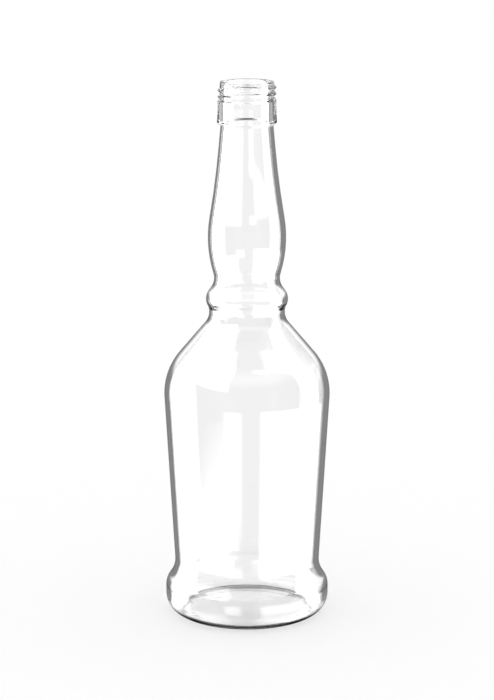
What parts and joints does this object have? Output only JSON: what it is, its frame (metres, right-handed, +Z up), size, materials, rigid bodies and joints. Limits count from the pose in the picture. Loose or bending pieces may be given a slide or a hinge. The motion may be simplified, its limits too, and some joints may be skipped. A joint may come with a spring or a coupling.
{
  "type": "liqueur bottle",
  "caption": "Empty clear glass spirit bottle: bulging foot, tapered body, cone shoulder, bead and bulbous neck, screw finish with a pilfer collar and open mouth.",
  "frame": {"origin": "on the bottle's axis, at the ground plane that its bearing ring stands on", "axes": "+Z up along the bottle's axis towards the mouth; +X to the right of the front view, -Y towards the viewer of it"},
  "size_m": [0.0864, 0.0864, 0.281],
  "materials": {
    "clear_glass": "fire-polished clear flint glass"
  },
  "bodies": {
    "root": {"bottle": "clear_glass"}
  },
  "joints": []
}
